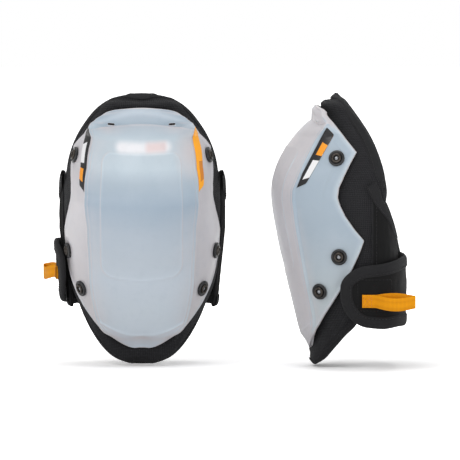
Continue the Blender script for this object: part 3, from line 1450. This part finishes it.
def box_path(u0, u1, v0, v1, u_count, v_count):
    """Closed rectangle of points, starting along v0."""
    return ([(u, v0) for u in np.linspace(u0, u1, u_count)]
            + [(u1, v) for v in np.linspace(v0, v1, v_count)][1:]
            + [(u, v1) for u in np.linspace(u1, u0, u_count)][1:]
            + [(u0, v) for v in np.linspace(v1, v0, v_count)][1:])


def patch_stitches(t0, t1, z0, z1, out, facing, slant):
    low, high = (np.array([leg_loop(t, z + flap_rise(t, slant), level)
                           for t, z in box_path(t0, t1, z0, z1, 20, 20)])
                 for level in (out, out + facing))
    return stitches(low, high - low)


wing = wing_part()
wing_high_path = [(t, wing_top(t)) for t in WING_PLACES[::-1]]
wing_low_path = [(t, WING_LOW) for t in WING_PLACES]
wing_tape = join([tape(wing_high_path, WING_TAPE, wing_gap),
                  tape(wing_low_path, NARROW_TAPE, wing_gap)])
(cord_a, cord_row_a), (cord_b, cord_row_b) = cord(1), cord(-1)
cords = join([cord_a, cord_b])
wing_stitches = join([edge_stitches(wing_high_path, 6.9, 4.42, 1, wing_gap),
                      cord_row_a, cord_row_b])
for side in SIDES:
    slant = SLANT[side]
    place("wing_outer", side, wing, "neoprene", "pad", ("outer_wing",))
    place("wing_tape", side, wing_tape, "binding_tape", "pad", ("outer_wing_binding",),
          subdivide=True)
    place("wing_cords", side, cords, "binding_tape", "pad")
    place("wing_stitches", side, wing_stitches, "thread", "pad")
    loops = pile_patch((-9, 34), (56.5, 98), base=5.5, surface=6.4, roughness=.16, seed=11, slant=0)
    place("loop_pile", side, loops, "loop_pile", "pad", ("loop_patch",))
    hooks = pile_patch((-22, 22), (60, 94), base=8.15, surface=7.3, roughness=.3, seed=12,
                       slant=slant)
    place("hook_pile", side, hooks, "hook_pile", "flap", ("hook_patch",))
    # name, body, t and z spans, height on the loop, way the stitches face, slant
    for name, body, *box in (
            ("loop_stitches", "pad", -6, 31, 59, 95.5, 6.5, 1, 0),
            ("hook_stitches", "flap", -19, 19, 62.5, 91.5, 7.2, -1, slant),
            ("hook_stitches_face", "flap", -20.5, 20.5, 61.2, 92.8, 11.95, 1, slant)):
        place(name, side, patch_stitches(*box), "thread", body)

# ---------------------------------------------------------------- pull tab
TAB_WIDTH, TAB_THICKNESS = 13.2, 1.25
TAB_ROOT_Y, TAB_MOUTH_Y, TAB_TIP_Y = 92, 103, 106.0  # sewn root, its end, start of the loop
TAB_RUN = np.array([11.5, 39.0])  # x and y from the start of the loop to its tip
# ribbon section: share of the half width, share of the thickness
TAB_SECTION = [
    (-1, -.28), (-.97, .3), (-.9, .5), (-.45, .5), (0, .5), (.45, .5), (.9, .5), (.97, .3),
    (1, .22), (1, -.28), (.97, -.4), (.9, -.5), (.45, -.5), (0, -.5), (-.45, -.5), (-.9, -.5),
    (-.97, -.4)]


def flap_x(y, z, lift):
    """x of the flap's outside on the +x side."""
    return leg_loop(min(0, y - LOOP_Y), z, 11.75 + lift)[0]


def tab_path(rise, z, droop):
    """Rows of (x, y, offset in z) along the folded webbing."""
    def leg(t, sign):
        spread = 4.6 * math.sin(math.pi * t ** .75) + .25
        return np.array([88.7 + .105 * rise + TAB_RUN[0] * t + sign * spread,
                         TAB_TIP_Y + TAB_RUN[1] * t])
    ys, ts = np.linspace(TAB_ROOT_Y, TAB_MOUTH_Y, 9), np.linspace(0, 1, 34)
    outer_leg, inner_leg = [leg(t, 1) for t in ts], [leg(t, -1) for t in ts[::-1]]
    start, end = outer_leg[-1], inner_leg[0]
    radius = np.linalg.norm(start - end) / 2
    ahead, across = unit(TAB_RUN), unit(start - end)
    fold = [(start + end) / 2 + across * radius * math.cos(a)
            + ahead * max(radius, 1.1) * math.sin(a) for a in np.linspace(0, math.pi, 9)[1:-1]]
    path = np.array([(flap_x(y, z, 2.1), y) for y in ys] + outer_leg + fold + inner_leg
                    + [(flap_x(y, z, .72), y) for y in ys[::-1]])
    # the outer layer hangs lower than the inner one, so that the loop stands open
    bow = np.sin(math.pi * ts)
    hang = np.concatenate([np.zeros(9), -2.9 * bow, np.zeros(7), 2.0 * bow[::-1], np.zeros(9)])
    hang = hang - droop * np.maximum(0, path[:, 1] - 104)
    s = arc(path)
    even = np.linspace(0, s[-1], 150)
    path = np.stack([np.interp(even, s, values) for values in (*path.T, hang)], 1)
    for _ in range(4):
        path[1:-1] = (path[:-2] + 2 * path[1:-1] + path[2:]) / 4
    return path


def tab_part(path, z):
    tangents = np.gradient(path[:, :2], axis=0)
    tangents /= np.linalg.norm(tangents, axis=1)[:, None]
    s = arc(path)
    rows = []
    for (x, y, offset), (tx, ty), length in zip(path, tangents, s):
        half = TAB_WIDTH / 2 + .12 * math.sin(length / 1.35 * math.pi * 2)
        rows.append([(x + ty * b * TAB_THICKNESS, y - tx * b * TAB_THICKNESS,
                      z + offset + a * half) for a, b in TAB_SECTION])
    return tube(rows, s, np.arange(len(TAB_SECTION)) * TAB_WIDTH / 16, closed=False)


def tab_stitches(z):
    """Box and two diagonals through the sewn root."""
    paths = [box_path(93, 101.5, z - 4.8, z + 4.8, 10, 12)]
    # the box runs along y from its bottom edge
    for half in (4.4, -4.4):
        paths.append(list(zip(np.linspace(93.5, 101, 10), np.linspace(z - half, z + half, 10))))
    # the box's last side comes back to its first point
    return join([stitches([(flap_x(y, z, 2.78), y, level) for y, level in path],
                          np.tile([1.0, 0, 0], (len(path), 1)),
                          pitch=3.0, length=2.2, width=.55, height=.34) for path in paths])


for side in SIDES:
    rise = flap_rise(-20, SLANT[side])
    z = 71 + rise
    path = tab_path(rise, z, droop=.17 if side == "right" else 0)
    ob = place("pull_tab", side, tab_part(path, z), "orange_webbing", None, ("pull_tab",))
    place("tab_stitches", side, tab_stitches(z), "thread_orange", "flap")
    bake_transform(ob)

# ---------------------------------------------------------------- pieces kept from the CAD
KEPT = {"gel_core": "gel", "core_patch": "printed_film", "backing_washers": "washer_steel"}
for name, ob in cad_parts.items():
    material = MATERIALS[KEPT.get(name.split("_", 1)[1], "neoprene")]
    if ob.material_slots:
        for slot in ob.material_slots:
            slot.material = material
    else:
        ob.data.materials.append(material)


# ---------------------------------------------------------------- floor, world, lights, camera
def floor_material():
    """Pale floor that goes to plain white away from the object."""
    shader = Shader("floor", .9, Specular_IOR_Level=.05, Emission_Color=(1, 1, 1))
    clouds = shader.noise(scale=3, detail=2)
    x, y = shader.xy(shader.node("TexCoord", out=3))
    radius = (x ** 2 + y ** 2).math("SQRT")
    camera_ray = shader.node("LightPath")
    glow = shader.smooth_range(radius, low=.25, high=.75, start=.02, end=1.0)
    shader.set(shader.bsdf, "Emission Strength", glow)
    lit = shader.mix(clouds, (.80, .80, .805), (.82, .82, .82))
    seen = shader.mix(clouds, (1.4, 1.395, 1.395), (1.43, 1.425, 1.425))
    return shader.finish(shader.mix(camera_ray, lit, seen))


def floor_part():
    """Disc of four rings."""
    n = 48
    turns = np.linspace(0, 2 * math.pi, n, endpoint=False)
    points = [(0, 0, 0)] + [(r * math.cos(a), r * math.sin(a), 0)
                            for r in (300, 900, 2500, 9000) for a in turns]
    faces = [(0, 1 + k, 1 + (k + 1) % n) for k in range(n)]
    for a in (1, 1 + n, 1 + 2 * n):
        faces += [(a + k, a + n + k, a + n + (k + 1) % n, a + (k + 1) % n) for k in range(n)]
    return points, faces, None


build("floor", None, floor_part(), floor_material())

# the sky lights softly and is seen as white
world = bpy.data.worlds.new("studio")
bpy.context.scene.world = world
world.use_nodes = True
nodes, links = world.node_tree.nodes, world.node_tree.links
seen_sky, lit_sky = nodes["Background"], nodes.new("ShaderNodeBackground")
for sky, strength in ((seen_sky, 1.0), (lit_sky, .42)):
    sky.inputs[0].default_value = (1, 1, 1, 1)
    sky.inputs[1].default_value = strength
light_path, sky_mix = nodes.new("ShaderNodeLightPath"), nodes.new("ShaderNodeMixShader")
links.new(light_path.outputs["Is Camera Ray"], sky_mix.inputs[0])
links.new(lit_sky.outputs[0], sky_mix.inputs[1])
links.new(seen_sky.outputs[0], sky_mix.inputs[2])
links.new(sky_mix.outputs[0], nodes["World Output"].inputs[0])


def aim(name, data, location, target):
    """Add a light or camera that looks at the target."""
    ob = bpy.data.objects.new(name, data)
    bpy.context.scene.collection.objects.link(ob)
    ob.location = location
    ob.rotation_euler = (Vector(target) - ob.location).to_track_quat("-Z", "Y").to_euler()
    return ob


def area(name, location, target_z, size, power):
    light = bpy.data.lights.new(name, "AREA")
    light.energy, light.size = power, size
    aim(name, light, location, (0, 0, target_z))


area("key", (-.9, -1.5, 1.5), target_z=.13, size=1.1, power=12)
area("fill", (1.3, -1.4, .7), target_z=.13, size=1.2, power=7)
area("top", (0, .1, 1.9), target_z=.1, size=1.6, power=13)
area("back", (0, 1.5, 1.0), target_z=.15, size=1.4, power=5)

CAMERA_TARGET = Vector((.0028, .007, .139))
CAMERA_DISTANCE = 9.0
CAMERA_PITCH = math.radians(3)  # looks slightly down
camera = bpy.data.cameras.new("camera")
camera.clip_end = 100
camera.sensor_width, camera.lens = 36, 688.8
view = Vector((0, math.cos(CAMERA_PITCH), -math.sin(CAMERA_PITCH)))
bpy.context.scene.camera = aim(
    "camera", camera, CAMERA_TARGET - view * CAMERA_DISTANCE, CAMERA_TARGET)
view_settings = bpy.context.scene.view_settings
view_settings.view_transform = "Standard"
view_settings.look = "None"
view_settings.exposure = 0
view_settings.gamma = 1
